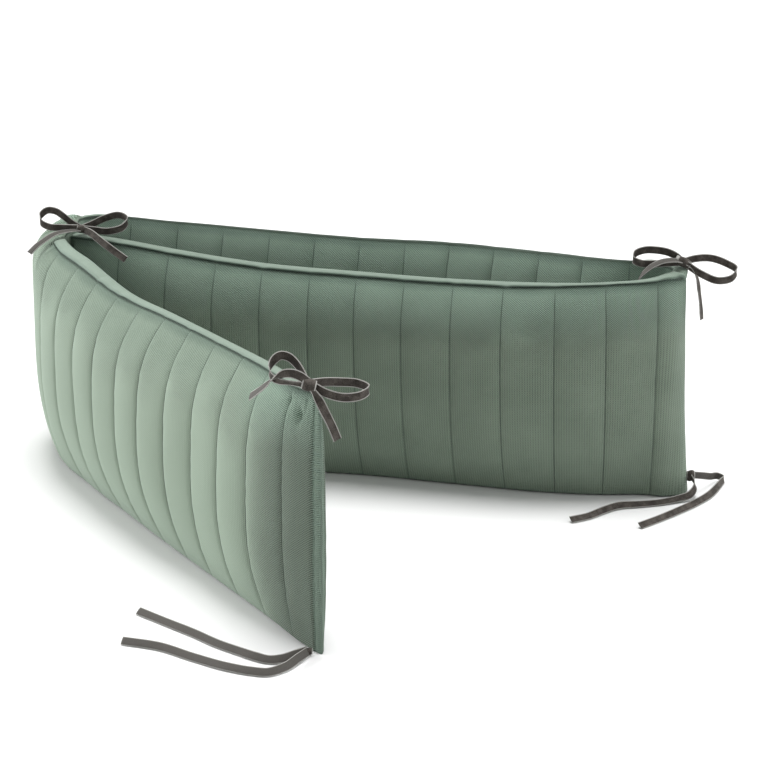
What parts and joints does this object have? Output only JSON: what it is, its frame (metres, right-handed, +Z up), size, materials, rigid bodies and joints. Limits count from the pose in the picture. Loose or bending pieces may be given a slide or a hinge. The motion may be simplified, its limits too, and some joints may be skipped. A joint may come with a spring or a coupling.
{
  "type": "crib bumper",
  "caption": "Quilted filled crib bumper standing on its long edge, folded back on itself twice, with velvet ribbon ties in bows.",
  "frame": {"origin": "on the floor, under the middle of the box around the whole folded bumper and its ties", "axes": "+Z up, +X to the right along the longest side, from the left fold to the right fold, +Y from the near end back to the folds"},
  "size_m": [1.0448, 0.9515, 0.3765],
  "materials": {
    "waffle_cotton": "matt sage green waffle knit",
    "velvet_ribbon": "dark taupe velvet with paler satin back and edges"
  },
  "bodies": {
    "root": {"pad": "waffle_cotton", "tie_near_top": "velvet_ribbon", "tie_left_top": "velvet_ribbon", "tie_right_top": "velvet_ribbon", "tie_near_floor": "velvet_ribbon", "tie_right_floor": "velvet_ribbon"}
  },
  "joints": []
}
